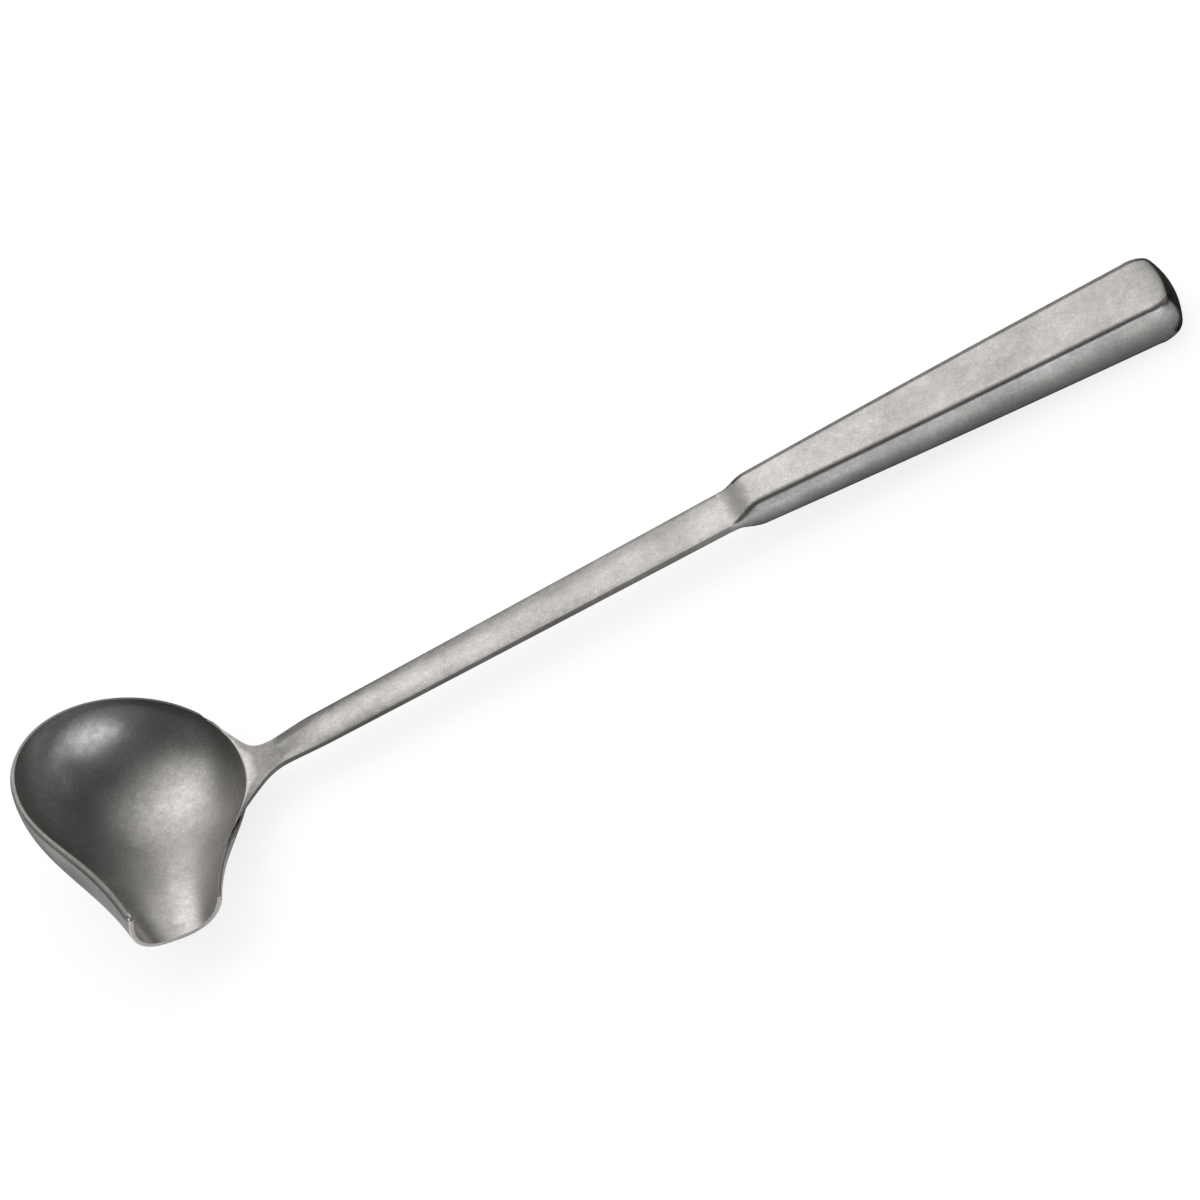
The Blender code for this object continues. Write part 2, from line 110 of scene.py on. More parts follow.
# Handle
HANDLE_LENGTH = 121.4 * MM
HANDLE_DROOP = math.radians(1.9)
SHELL_WALL = 0.6 * MM
HANDLE_THICK_FRONT = 8.6 * MM
HANDLE_THICK_TAIL = 12.7 * MM
TOP_WIDTH_FRONT = 11.0 * MM
TOP_WIDTH_TAIL = 18.9 * MM
TOP_WIDTH_SWELL = 1.7 * MM
SIDE_BULGE = 1.6 * MM
TOP_EDGE_RADIUS = 1.6 * MM
RAMP_LENGTH = 9.2 * MM
TAIL_DOME = 2.3 * MM
TAIL_ROUND = 56.0 * MM
TAIL_EDGE_DEPTH = 4.4 * MM
TAIL_EDGE_SIDE = 2.3 * MM
TAIL_EDGE_TOP = 0.7 * MM
SEAM_BEAD = 0.6 * MM
EDGE_ROOM = 0.8
EDGE_CORNER = 0.35
MOUTH_START = 0.05
MOUNT_AT = 62.0 * MM
MOUNT_SIDE = 2.0 * MM

# Fineness of the surfaces
FLANK_COLUMNS = 14
NEAR_FILLET_COLUMNS = 12
NECK_COLUMNS = 8
FAR_FILLET_COLUMNS = 9
ROUND_COLUMNS = 60
LIP_COLUMNS = 20
BOWL_RINGS = 13
EDGE_ROWS = 5
FIRST_RING = 0.03
RING_POWER = 0.9
RIM_PROBE = 0.02
FILLET_PROBE = 0.01
CURVE_POINTS = 160
NECK_ROWS = 5
SHANK_ROWS = 26
TOP_SHARES = (0.94, 0.66, 0.33, 0.0)
TAIL_SHARES = (0.85, 0.66, 0.45, 0.22, 0.0)
TAIL_EDGE_RINGS = 9
RAMP_STATIONS = 14
RAMP_STATIONS_END = 1.4
BODY_STATIONS = 34
MOUTH_RINGS = 14
RIM_BAND = 1.3 * MM
RIM_CREASE = 0.72
RIM_TAPER = 0.62
FLANGE_FULL = 3.0 * MM
CORNER_SHARE = 0.2
SHARP_ANGLE = math.radians(50.0)
SMOOTHING = 2

# Finish of the steel, with shade and reflection painted into its colour
STEEL_COLOUR = (0.505, 0.495, 0.48)
STEEL_ROUGHNESS = 0.36
ROUGHNESS_SPREAD = 0.04
NOISE_RANGE = (0.3, 0.7)
DENT_RANGE = (0.56, 0.72)
BLOTCH_RELIEF = 0.8
BUMP_STRENGTH = 0.35
GRAIN_SIZE = 0.6 * MM
BLOTCH_SIZE = 2.0 * MM
CLOUD_SIZE = 14.0 * MM
GRAIN_DEPTH = 0.12
BLOTCH_DEPTH = 0.07
CLOUD_DEPTH = 0.15
DENT_DEPTH = 0.12
# Painted shade and painted reflection: how much darker the steel is painted along the rim, the neck, the
# edges of shank and handle and the shank's far side
PAINTED_SHADE_DEPTH = 0.7
RIM_PAINTED_SHADE = 0.38
NECK_PAINTED_SHADE = 0.62
NECK_PAINTED_SHADE_ROWS = 5
FAR_EDGE_PAINTED_SHADE = 1.0
NEAR_EDGE_PAINTED_SHADE = 0.35
FAR_BAND_PAINTED_SHADES = (1.0, 0.8, 0.3)
NEAR_BAND_PAINTED_SHADE = 0.2
# Painted shade along the ladle: darker from the neck on, and a little more towards the tail
PAST_NECK_PAINTED_SHADE = (-112 * MM, -88 * MM, 1.0, 0.86)
TAIL_PAINTED_SHADE = (30 * MM, 155 * MM, 1.0, 0.93)
GRAIN_RELIEF = 0.03 * MM

# Stage and light
FLOOR_SIZE = 6.0
FLOOR_COLOUR = (0.2, 0.2, 0.2)
FLOOR_LIFT = 0.92
FLOOR_SHADOW = 0.12
# Painted shade on the floor the metal mirrors: dim near and behind the ladle, pale in front and far to the
# left
FLOOR_FADE = (25 * MM, -55 * MM)
FLOOR_LEFT = (-150 * MM, -210 * MM, 0.0, 0.42)
FLOOR_DIMMEST = 0.08
FLOOR_MIRROR = 1.0
# Cards only the metal mirrors: dark ones as painted reflection of shade, a glowing one as painted
# reflection of light
FLAG_GAP = 60.0 * MM
FLAG_TUCK = 4.0 * MM
FLAG_LIFT = 0.2 * MM
FLAG_NEAR = 12.0 * MM
FLAG_FAR = 80.0 * MM
FLAG_HEIGHT = 42.0 * MM
FLAG_COLOUR = (0.01, 0.01, 0.01)
GLOW_HEIGHT = 130.0 * MM
GLOW_SIDE = 45.0 * MM
GLOW_LEVEL = 0.4
SHADOW_REACH = 60.0 * MM
ROOM_COLOUR = (0.08, 0.08, 0.08)
FRONT_LIGHT_PLACE = (0.2, -0.45, 0.15)
FRONT_LIGHT_AIM = (0.03, 0.0, 0.02)
FRONT_LIGHT_SIZE = (0.44, 0.24)
FRONT_LIGHT_LEVEL = 1.8
FRONT_LIGHT_COLOUR = (0.94, 0.97, 1.0)

# Camera, from the photograph
IMAGE_SIZE = 1200
VIEW_ELEVATION = math.radians(40.70)
VIEW_HEADING = math.radians(-109.09)
VIEW_ROLL = math.radians(4.496)
VIEW_DISTANCE = 1.5
PIXELS_PER_METRE = 4129.33
RIM_CENTRE_PIXEL = (129.2, 775.3)
SENSOR_WIDTH = 36.0
VIEW_END = 20.0


def smoothstep(t):
    t = np.clip(t, 0.0, 1.0)
    return t * t * (3.0 - 2.0 * t)


def bezier(p0, p1, p2, p3, count):
    t = np.linspace(0.0, 1.0, count)[:, None]
    ends = (1 - t) ** 3 * np.array(p0) + t ** 3 * np.array(p3)
    pulls = 3 * (1 - t) ** 2 * t * np.array(p1) + 3 * (1 - t) * t ** 2 * np.array(p2)
    return ends + pulls


def along(curve, count):
    """Points at equal steps along a polyline, both ends included."""
    step = np.linalg.norm(np.diff(curve, axis=0), axis=1)
    length = np.concatenate([[0.0], np.cumsum(step)])
    wanted = np.linspace(0.0, length[-1], count)
    return np.column_stack([np.interp(wanted, length, curve[:, i]) for i in range(curve.shape[1])])


class Bowl:
    """Round dish drawn out to a spout, where its section turns into a fuller trough."""

    POLE = -0.2 * RIM_RADIUS
    FLANK_START = math.radians(7.2)
    FLANK_PULLS = (0.4, 0.495)
    PAST_LIP = 0.13 * SPOUT_REACH
    BEND = 0.22

    def __init__(self):
        self.half_rim = self.draw_half_rim()
        whole = np.vstack([self.half_rim[::-1], self.half_rim[1:] * [-1.0, 1.0]])
        self.angles = np.unwrap(np.arctan2(whole[:, 1] - self.POLE, whole[:, 0]))
        self.reaches = np.hypot(whole[:, 0], whole[:, 1] - self.POLE)
        self.right_corner = self.find_corner(self.angles[0], 0.0)
        self.left_corner = self.find_corner(self.angles[-1], math.pi)

    def draw_half_rim(self):
        """Right half of the rim, from the back of the bowl to just past the lip."""
        arc = np.linspace(math.pi / 2, self.FLANK_START, 200)
        round_part = np.column_stack([np.cos(arc), np.sin(arc)]) * RIM_RADIUS
        start = round_part[-1]
        leave = np.array([math.sin(self.FLANK_START), -math.cos(self.FLANK_START)])
        corner = np.array([SPOUT_WIDTH / 2, -SPOUT_REACH])
        arrive = np.array([-math.sin(SPOUT_TAPER), -math.cos(SPOUT_TAPER)])
        run = SPOUT_REACH + start[1]
        first, second = self.FLANK_PULLS
        flank = bezier(start, start + first * run * leave,
                       corner - second * run * arrive, corner, 200)
        return np.vstack([round_part, flank[1:], corner + self.PAST_LIP * arrive])

    def rim_reach(self, angle):
        turn = (angle - self.angles[0]) % (2 * math.pi)
        return float(np.interp(turn + self.angles[0], self.angles, self.reaches))

    def cut(self, angle):
        """Distance from the pole to the plane the spout is cut off in."""
        facing = math.tan(SPOUT_SKEW) * math.cos(angle) - math.sin(angle)
        return (SPOUT_REACH + self.POLE) / facing if facing > 1e-6 else 1.0

    def find_corner(self, inside, outside):
        for _ in range(60):
            angle = (inside + outside) / 2
            if self.rim_reach(angle) > self.cut(angle):
                inside = angle
            else:
                outside = angle
        return outside

    def outline(self, angle):
        """Distance from the pole to the rim, or to the lip in the mouth of the spout."""
        return min(self.rim_reach(angle), self.cut(angle))

    def half_width(self, y):
        if y > RIM_RADIUS * math.sin(self.FLANK_START):
            return math.sqrt(max(RIM_RADIUS ** 2 - y * y, 0.0))
        return float(np.interp(-y, -self.half_rim[:, 1], self.half_rim[:, 0]))

    def dish(self, ring):
        """Profile rounded like an egg: 1 in the middle, 0 at the rim."""
        rim_level = math.sqrt(BOWL_FULLNESS ** 2 - 1)
        level = math.sqrt(BOWL_FULLNESS ** 2 - min(ring, 1.0) ** 2)
        return max(0.0, level - rim_level) / (BOWL_FULLNESS - rim_level)

    def height(self, x, y):
        """Inside of the bowl, as a section of its own at each distance y from the middle."""
        out = max(0.0, -y / SPOUT_REACH)
        if y > 0:
            depth = BOWL_DEPTH * self.dish(y / RIM_RADIUS)
        else:
            climb = (math.hypot(out, self.BEND) - self.BEND) / (math.hypot(1, self.BEND) - self.BEND)
            depth = BOWL_DEPTH - (BOWL_DEPTH - SPOUT_DEPTH) * climb
        across = min(1.0, abs(x) / max(self.half_width(y), 0.001 * RIM_RADIUS))
        spout = float(smoothstep(out))
        power = 2 + (SPOUT_FULLNESS - 2) * spout
        lean = 1 - SPOUT_LEAN * spout * math.copysign(across, x)
        return -depth * lean * self.dish(across ** (power / 2)) ** (2 / power)

    def point(self, ring, angle):
        rim = self.outline(angle)
        reach = ring * ((1 - ring) * POLE_SPREAD * RIM_RADIUS + ring * rim)
        x = reach * math.cos(angle)
        y = self.POLE + reach * math.sin(angle)
        lift = neck_height(rim * math.cos(angle)) * ring ** NECK_LIFT_POWER
        return np.array([x, y, self.height(x, y) + lift])

    def rim_columns(self, first, last, count):
        """Angles that step evenly along the rim between two angles."""
        fine = np.linspace(first, last, 400)
        path = np.array([self.point(1.0, a) for a in fine])
        step = np.linalg.norm(np.diff(path, axis=0), axis=1)
        length = np.concatenate([[0.0], np.cumsum(step)])
        return np.interp(np.linspace(0.0, length[-1], count + 1), length, fine)

    def lip_columns(self, count):
        """Angles along the lip, with close pairs by the corners that keep these crisp."""
        right = self.right_corner + 2 * math.pi
        angles = list(self.rim_columns(self.left_corner, right, count))
        near = CORNER_SHARE * (angles[1] - angles[0])
        far = CORNER_SHARE * (angles[-1] - angles[-2])
        return [angles[0], angles[0] + near] + angles[1:-1] + [angles[-1] - far]


def neck_height(x):
    """Height of the neck's top face: level at the rim, on the shank's slope at its end."""
    foot = NECK_FOOT * RIM_RADIUS
    end = RIM_RADIUS + NECK_LENGTH
    slope = math.tan(SHANK_RISE)
    if x > end:
        return NECK_HEIGHT + slope * (x - end)
    t = max(0.0, (x - foot) / (end - foot))
    return (3 * t * t - 2 * t ** 3) * NECK_HEIGHT + (t ** 3 - t * t) * (end - foot) * slope


def shank_point(s, y, n):
    """Point at a distance along the shank's top face, across it and above it."""
    c, k = math.cos(SHANK_RISE), math.sin(SHANK_RISE)
    x = RIM_RADIUS + NECK_LENGTH + s * c - n * k
    return np.array([x, y - HANDLE_OFFSET, NECK_HEIGHT + s * k + n * c])


def shank_half_width(s):
    share = min(1.0, s / SHANK_LENGTH)
    return (SHANK_WIDTH_NECK + (SHANK_WIDTH_HANDLE - SHANK_WIDTH_NECK) * share) / 2


class Handle:
    """Outside of the hollow handle about its own axis: u along, y across, n up."""

    LIP = 0.58 * RAMP_LENGTH
    ROUND_STEPS = 9
    SIDE_STEPS = 9

    def half_height(self, u):
        share = (u - RAMP_LENGTH) / (HANDLE_LENGTH - RAMP_LENGTH)
        full = (HANDLE_THICK_FRONT + (HANDLE_THICK_TAIL - HANDLE_THICK_FRONT) * share) / 2
        foot = SHANK_THICKNESS / 2
        return foot + (full - foot) * float(smoothstep(u / RAMP_LENGTH))

    def half_top(self, u):
        share = max(0.0, (u - RAMP_LENGTH) / (HANDLE_LENGTH - RAMP_LENGTH))
        width = TOP_WIDTH_FRONT + (TOP_WIDTH_TAIL - TOP_WIDTH_FRONT) * share
        width += 2 * TOP_WIDTH_SWELL * share * (1 - share)
        ramp = float(smoothstep(u / RAMP_LENGTH))
        return ((1 - ramp) * SHANK_WIDTH_HANDLE + ramp * width) / 2

    def bulge(self, u):
        return SIDE_BULGE * float(smoothstep(u / RAMP_LENGTH))

    def side(self, u, n):
        bow = 1 - (n / self.half_height(u)) ** 2
        return self.half_top(u) + self.bulge(u) * bow

    def profile(self, u, low):
        """Half section from the level of the edge, round the corner, to the middle of the top."""
        high = self.half_height(u)
        turn = min(TOP_EDGE_RADIUS, EDGE_ROOM * (high - low))
        points = []
        for n in np.linspace(low, high - turn, self.SIDE_STEPS):
            points.append((self.side(u, n), n))
        start = np.array(points[-1])
        corner = np.array([self.side(u, high - EDGE_CORNER * turn), high])
        end = corner - [turn, 0.0]
        for t in np.linspace(0.0, 1.0, self.ROUND_STEPS + 1)[1:]:
            spot = (1 - t) ** 2 * start + 2 * t * (1 - t) * corner + t * t * end
            points.append(tuple(spot))
        for share in TOP_SHARES:
            points.append((end[0] * share, high))
        return points

    def tail(self, y, n):
        """Domed end of the handle."""
        lift = HANDLE_THICK_TAIL / 2
        return HANDLE_LENGTH - y * y / TAIL_ROUND - TAIL_DOME * (n / lift) ** 2

    def tail_rings(self):
        """Shares of width and height, and set-back, of the rings that close the tail."""
        wide, lift = self.side(HANDLE_LENGTH, 0.0), HANDLE_THICK_TAIL / 2
        rings = []
        for k in range(TAIL_EDGE_RINGS):
            turn = math.pi / 2 * k / (TAIL_EDGE_RINGS - 1)
            inset = 1 - math.cos(turn)
            back = TAIL_EDGE_DEPTH * (1 - math.sin(turn))
            rings.append((1 - inset * TAIL_EDGE_SIDE / wide, 1 - inset * TAIL_EDGE_TOP / lift, back))
        across, up, _ = rings[-1]
        for share in TAIL_SHARES:
            rings.append((across * share, up * share, 0.0))
        return rings

    def stations(self):
        ramp_end = RAMP_STATIONS_END * RAMP_LENGTH
        front = np.linspace(self.LIP, ramp_end, RAMP_STATIONS)
        body = np.linspace(ramp_end, HANDLE_LENGTH - 2 * TAIL_EDGE_DEPTH, BODY_STATIONS)
        return list(front) + list(body[1:])

    def place(self, u, y, n):
        """From the handle's own axis to the frame of the bowl rim."""
        c, k = math.cos(HANDLE_DROOP), math.sin(HANDLE_DROOP)
        s = SHANK_LENGTH + u * c + n * k
        return shank_point(s, y, -SHANK_THICKNESS / 2 - u * k + n * c)


def rim_to_model():
    """Turn and shift from the rim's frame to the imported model's, read off the handle's mount."""
    handle = Handle()
    spot = handle.place(MOUNT_AT, MOUNT_SIDE, handle.half_height(MOUNT_AT))
    ahead = handle.place(2 * MOUNT_AT, MOUNT_SIDE, handle.half_height(2 * MOUNT_AT)) - spot
    slope = math.atan2(ahead[2], ahead[0])
    mount = [m for m in frame["record"]["mounts"] if m["name"] == "handle_top_flat"][0]
    up = mount["axis"]
    laid_slope = math.atan2(-up[0], up[2])
    turn = Matrix.Rotation(slope - laid_slope, 4, "Y")
    shift = Vector(mount["pos_m"]) - turn @ Vector(spot)
    return Matrix.Translation(shift) @ turn


TO_MODEL = rim_to_model()
HANDLE_SIDE = (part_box("handle_upper_shell")[0][1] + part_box("handle_upper_shell")[1][1]) / 2


def make_piece(name, verts, faces, shades, node, material):
    """A mesh drawn in the rim's frame, standing for one node; shades paint shade on it, mostly along its
    edges.
    """
    mesh = bpy.data.meshes.new(name)
    mesh.from_pydata([tuple(v) for v in verts], [], faces)
    shade = mesh.attributes.new("painted_edge_shade", "FLOAT", "POINT")
    shade.data.foreach_set("value", [shades.get(i, 0.0) for i in range(len(verts))])
    mesh.transform(TO_MODEL)
    mesh.update()
    mesh.shade_smooth()
    ob = bpy.data.objects.new(name, mesh)
    bpy.context.scene.collection.objects.link(ob)
    ob.data.materials.append(material)
    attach(ob, "root")
    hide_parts(node)
    return ob


def settle(ob):
    """Make the modifiers real, so that only true corners are shaded as corners."""
    shaped = ob.evaluated_get(bpy.context.evaluated_depsgraph_get())
    mesh = bpy.data.meshes.new_from_object(shaped)
    mesh.name = ob.name
    ob.modifiers.clear()
    ob.data = mesh
    mesh.set_sharp_from_angle(angle=SHARP_ANGLE)


def neck_edges(bowl):
    """Outline of the two fillets between rim and neck, and the waist that joins them."""
    waist_x = RIM_RADIUS + NECK_WAIST * NECK_LENGTH
    half_neck = NECK_WIDTH / 2
    near_root = bowl.point(1.0, NEAR_FILLET_START)[:2]
    far_root = bowl.point(1.0, FAR_FILLET_START)[:2]
    near_foot = np.array([waist_x, -HANDLE_OFFSET - half_neck])
    far_foot = np.array([waist_x, -HANDLE_OFFSET + half_neck])
    near_dir = bowl.point(1.0, NEAR_FILLET_START + FILLET_PROBE)[:2] - near_root
    far_dir = bowl.point(1.0, FAR_FILLET_START - FILLET_PROBE)[:2] - far_root
    near_dir /= np.linalg.norm(near_dir)
    far_dir /= np.linalg.norm(far_dir)
    sweep = np.linalg.norm(near_foot - near_root)
    tuck = np.linalg.norm(far_foot - far_root)
    at_rim, at_neck = NEAR_FILLET_PULLS
    near_edge = bezier(near_root, near_root + at_rim * sweep * near_dir,
                       near_foot - [at_neck * sweep, 0], near_foot, CURVE_POINTS)
    at_neck, at_rim = FAR_FILLET_PULLS
    far_edge = bezier(far_foot, far_foot - [at_neck * tuck, 0],
                      far_root + at_rim * tuck * far_dir, far_root, CURVE_POINTS)
    return near_edge, np.linspace(near_foot, far_foot, NECK_COLUMNS + 1), far_edge


def blank_columns(bowl):
    """Angle of each meridian of the bowl, with the point its neck flange runs out to."""
    near_edge, waist, far_edge = neck_edges(bowl)
    right, left = bowl.right_corner, bowl.left_corner
    flank = bowl.rim_columns(right, NEAR_FILLET_START, FLANK_COLUMNS)
    columns = [(right, None), (right + CORNER_SHARE * (flank[1] - right), None)]
    columns += [(a, None) for a in flank[1:-1]]
    near_angles = np.linspace(NEAR_FILLET_START, NEAR_NECK_ANGLE, NEAR_FILLET_COLUMNS + 1)
    columns += list(zip(near_angles, along(near_edge, NEAR_FILLET_COLUMNS + 1)))[:-1]
    neck_start = len(columns)
    columns += list(zip(np.linspace(NEAR_NECK_ANGLE, FAR_NECK_ANGLE, NECK_COLUMNS + 1), waist))
    far_angles = np.linspace(FAR_NECK_ANGLE, FAR_FILLET_START, FAR_FILLET_COLUMNS + 1)
    columns += list(zip(far_angles, along(far_edge, FAR_FILLET_COLUMNS + 1)))[1:-1]
    around = bowl.rim_columns(FAR_FILLET_START, left, ROUND_COLUMNS)
    columns += [(a, None) for a in around[:-1]]
    columns.append((left - CORNER_SHARE * (left - around[-2]), None))
    columns += [(a, None) for a in bowl.lip_columns(LIP_COLUMNS)]
    return columns, neck_start


def blank_row(bowl, angle, outer):
    """Points of one meridian, from just off the pole to the rim or the edge of the neck."""
    rim = bowl.point(1.0, angle)
    flange = 0.0 if outer is None else float(np.linalg.norm(outer - rim[:2]))
    steep = np.linalg.norm(rim - bowl.point(1 - RIM_PROBE, angle)) / RIM_PROBE
    fold = 1 - max(0.0, RIM_BAND - flange) / steep
    row = [bowl.point(FIRST_RING, angle)]
    for k in range(1, BOWL_RINGS + 1):
        turn = math.pi / 2 * k / BOWL_RINGS
        row.append(bowl.point(fold * math.sin(turn) ** RING_POWER, angle))
    wall = (1 - fold) * steep
    for k in range(1, EDGE_ROWS + 1):
        travel = (wall + flange) * k / EDGE_ROWS
        if travel <= wall or outer is None:
            row.append(bowl.point(fold + min(travel, wall) / steep, angle))
        else:
            spot = rim[:2] + (outer - rim[:2]) * (travel - wall) / flange
            row.append(np.array([spot[0], spot[1], neck_height(spot[0])]))
    return row


def flange_share(bowl, angle, outer):
    """How far the neck flange has opened on a meridian: 0 on the plain rim, 1 on the neck."""
    if outer is None:
        return 0.0
    return min(1.0, float(np.linalg.norm(outer - bowl.point(1.0, angle)[:2])) / FLANGE_FULL)


def shank_rows():
    """Rows across the neck and shank, from past the waist to inside the handle."""
    across = np.linspace(-1.0, 1.0, NECK_COLUMNS + 1)
    arch = CROWN_LIFT - across * across
    rows = []
    for where in np.linspace(NECK_WAIST, 1.0, NECK_ROWS + 2)[1:-1]:
        share = smoothstep((where - NECK_WAIST) / (1 - NECK_WAIST))
        half = (NECK_WIDTH + (SHANK_WIDTH_NECK - NECK_WIDTH) * share) / 2
        x = RIM_RADIUS + where * NECK_LENGTH
        crown = SHANK_CROWN * share
        rows.append([np.array([x, a * half - HANDLE_OFFSET, neck_height(x) + crown * lift])
                     for a, lift in zip(across, arch)])
    for s in np.linspace(0.0, SHANK_LENGTH + SHANK_TUCK * RAMP_LENGTH, SHANK_ROWS):
        half = shank_half_width(s)
        crown = SHANK_CROWN * max(0.0, 1 - s / SHANK_LENGTH)
        rows.append([shank_point(s, a * half, crown * lift) for a, lift in zip(across, arch)])
    return rows


def build_blank(material):
    """Bowl, spout, neck and shank as one smooth sheet, thickened downwards."""
    bowl = Bowl()
    columns, neck_start = blank_columns(bowl)
    verts = [bowl.point(0.0, 0.0)]
    index, shades, taper = [], {}, {}
    for column, (angle, outer) in enumerate(columns):
        row = blank_row(bowl, angle, outer)
        index.append([len(verts) + k for k in range(len(row))])
        opened = flange_share(bowl, angle, outer)
        taper.update({k: RIM_TAPER + (1 - RIM_TAPER) * opened for k in index[-1][-2:]})
        # Painted shade on the neck flange, and along the rim
        shades.update({k: NECK_PAINTED_SHADE * opened for k in index[-1][1 - EDGE_ROWS:]})
        if not neck_start < column < neck_start + NECK_COLUMNS:
            shades[index[-1][-1]] = RIM_PAINTED_SHADE
        verts += row
    faces = []
    for here, there in zip(index, index[1:] + index[:1]):
        faces.append((0, here[0], there[0]))
        for k in range(len(here) - 1):
            faces.append((here[k], here[k + 1], there[k + 1], there[k]))
    edge = [index[neck_start + i][-1] for i in range(NECK_COLUMNS + 1)]
    rows = shank_rows()
    for step, row in enumerate(rows):
        new = [len(verts) + i for i in range(len(row))]
        # Painted shade and painted reflection: the neck darker at first, the shank's edges dark and a dark
        # band along its far side that fades towards the handle
        onward = 1 - (step / len(rows)) ** 2
        shades.update({i: NECK_PAINTED_SHADE * max(0.0, 1 - step / NECK_PAINTED_SHADE_ROWS) for i in new})
        shades.update({new[0]: NEAR_EDGE_PAINTED_SHADE, new[-1]: FAR_EDGE_PAINTED_SHADE})
        shades.update({new[-2 - k]: level * onward for k, level in enumerate(FAR_BAND_PAINTED_SHADES)})
        shades[new[1]] = NEAR_BAND_PAINTED_SHADE * onward
        verts += row
        for i in range(NECK_COLUMNS):
            faces.append((edge[i], new[i], new[i + 1], edge[i + 1]))
        edge = new
    ob = make_piece("bowl_with_shank", verts, faces, shades, "bowl_and_shank", material)
    group = ob.vertex_groups.new(name="sheet_thickness")
    thin = BOWL_WALL / SHANK_THICKNESS
    start, full = RIM_RADIUS, RIM_RADIUS + FULL_SHEET_AT * NECK_LENGTH
    for i, v in enumerate(verts):
        share = float(smoothstep((v[0] - start) / (full - start))) if v[2] > -RIM_BAND else 0.0
        weight = thin + (1 - thin) * share
        group.add([i], weight * taper.get(i, 1.0), "REPLACE")
    solid = ob.modifiers.new("sheet", "SOLIDIFY")
    solid.thickness = SHANK_THICKNESS
    solid.offset = -1.0
    solid.vertex_group = group.name
    solid.thickness_vertex_group = 0.0
    solid.edge_crease_inner = RIM_CREASE
    solid.edge_crease_outer = RIM_CREASE
    soft = ob.modifiers.new("smooth", "SUBSURF")
    soft.levels = SMOOTHING
    soft.render_levels = SMOOTHING
    settle(ob)


def build_shell(name, node, handle, turned, material):
    """One stamped half; the lower one is the same half turned over about the axis."""
    side = -1.0 if turned else 1.0
    low = SEAM_BEAD / 2
    rows = []
    for u in handle.stations():
        half = handle.profile(u, low)
        rows.append([(u, y, n) for y, n in half] + [(u, -y, n) for y, n in half[-2::-1]])
    section = rows[-1]
    grow = handle.half_top(HANDLE_LENGTH) / handle.half_top(section[0][0])
    for fy, fn, back in handle.tail_rings():
        ring = []
        for _, y, n in section:
            y2 = y * fy * grow
            n2 = low + (n - low) * fn
            ring.append((handle.tail(y2, n2) - back, y2, n2))
        rows.append(ring)
    verts, index, shades = [], [], {}
    # Painted shade and painted reflection: dark lines along the rounded corners of each half, stronger on
    # one side
    round_end = handle.SIDE_STEPS + handle.ROUND_STEPS
    far_corner = range(handle.SIDE_STEPS, round_end)
    near_corner = range(handle.SIDE_STEPS + 2, round_end - 2)
    for row in rows[:-1]:
        index.append([len(verts) + i for i in range(len(row))])
        shades.update({index[-1][i]: FAR_EDGE_PAINTED_SHADE for i in far_corner})
        shades.update({index[-1][-1 - i]: NEAR_EDGE_PAINTED_SHADE for i in near_corner})
        verts += [handle.place(u, side * y, side * n) for u, y, n in row]
    middle = len(verts)
    u, _, n = rows[-1][0]
    verts.append(handle.place(u, 0.0, side * n))
    faces = []
    for here, there in zip(index[:-1], index[1:]):
        for i in range(len(here) - 1):
            faces.append((here[i], here[i + 1], there[i + 1], there[i]))
    for i in range(len(index[-1]) - 1):
        faces.append((index[-1][i], index[-1][i + 1], middle))
    ob = make_piece(name, verts, faces, shades, node, material)
    solid = ob.modifiers.new("wall", "SOLIDIFY")
    solid.thickness = SHELL_WALL
    solid.offset = -1.0
    settle(ob)


def build_seam(handle, material):
    """Bead between the edges of the two shells, up one side, round the tail and back."""
    path = [(u, handle.side(u, 0.0)) for u in handle.stations()]
    grow = handle.half_top(HANDLE_LENGTH) / handle.half_top(path[-1][0])
    wide = path[-1][1]
    for fy, _, back in handle.tail_rings():
        y = wide * grow * fy
        path.append((handle.tail(y, 0.0) - back, y))
    path += [(u, -y) for u, y in path[-2::-1]]
    verts, faces = [], []
    for u, y in path:
        verts.append(handle.place(u, y, -SEAM_BEAD / 2))
        verts.append(handle.place(u, y, SEAM_BEAD / 2))
    for i in range(len(path) - 1):
        faces.append((2 * i, 2 * i + 1, 2 * i + 3, 2 * i + 2))
    ob = make_piece("handle_seam", verts, faces, {}, "handle_seam_weld", material)
    solid = ob.modifiers.new("bead", "SOLIDIFY")
    solid.thickness = SHELL_WALL
    solid.offset = -1.0
    settle(ob)


def build_mouth(name, node, handle, turned, material):
    """Weld metal that carries the ramp of a shell down on to the shank and round its sides."""
    side = -1.0 if turned else 1.0
    verts, faces, previous = [], [], None
    for u in np.linspace(MOUTH_START * RAMP_LENGTH, handle.LIP, MOUTH_RINGS):
        half = handle.profile(u, 0.0)
        outer = half + [(-y, n) for y, n in half[-2::-1]]
        wide, level = SHANK_WIDTH_HANDLE / 2, SHANK_THICKNESS / 2
        inner = [(-wide, 0.0), (-wide, level), (wide, level), (wide, 0.0)]
        ring = [len(verts) + i for i in range(len(outer) + len(inner))]
        verts += [handle.place(u, side * y, side * n) for y, n in outer + inner]
        if previous:
            for i in range(len(ring)):
                j = (i + 1) % len(ring)
                faces.append((previous[i], previous[j], ring[j], ring[i]))
        else:
            faces.append(tuple(ring[::-1]))
        previous = ring
    faces.append(tuple(previous))
    settle(make_piece(name, verts, faces, {}, node, material))


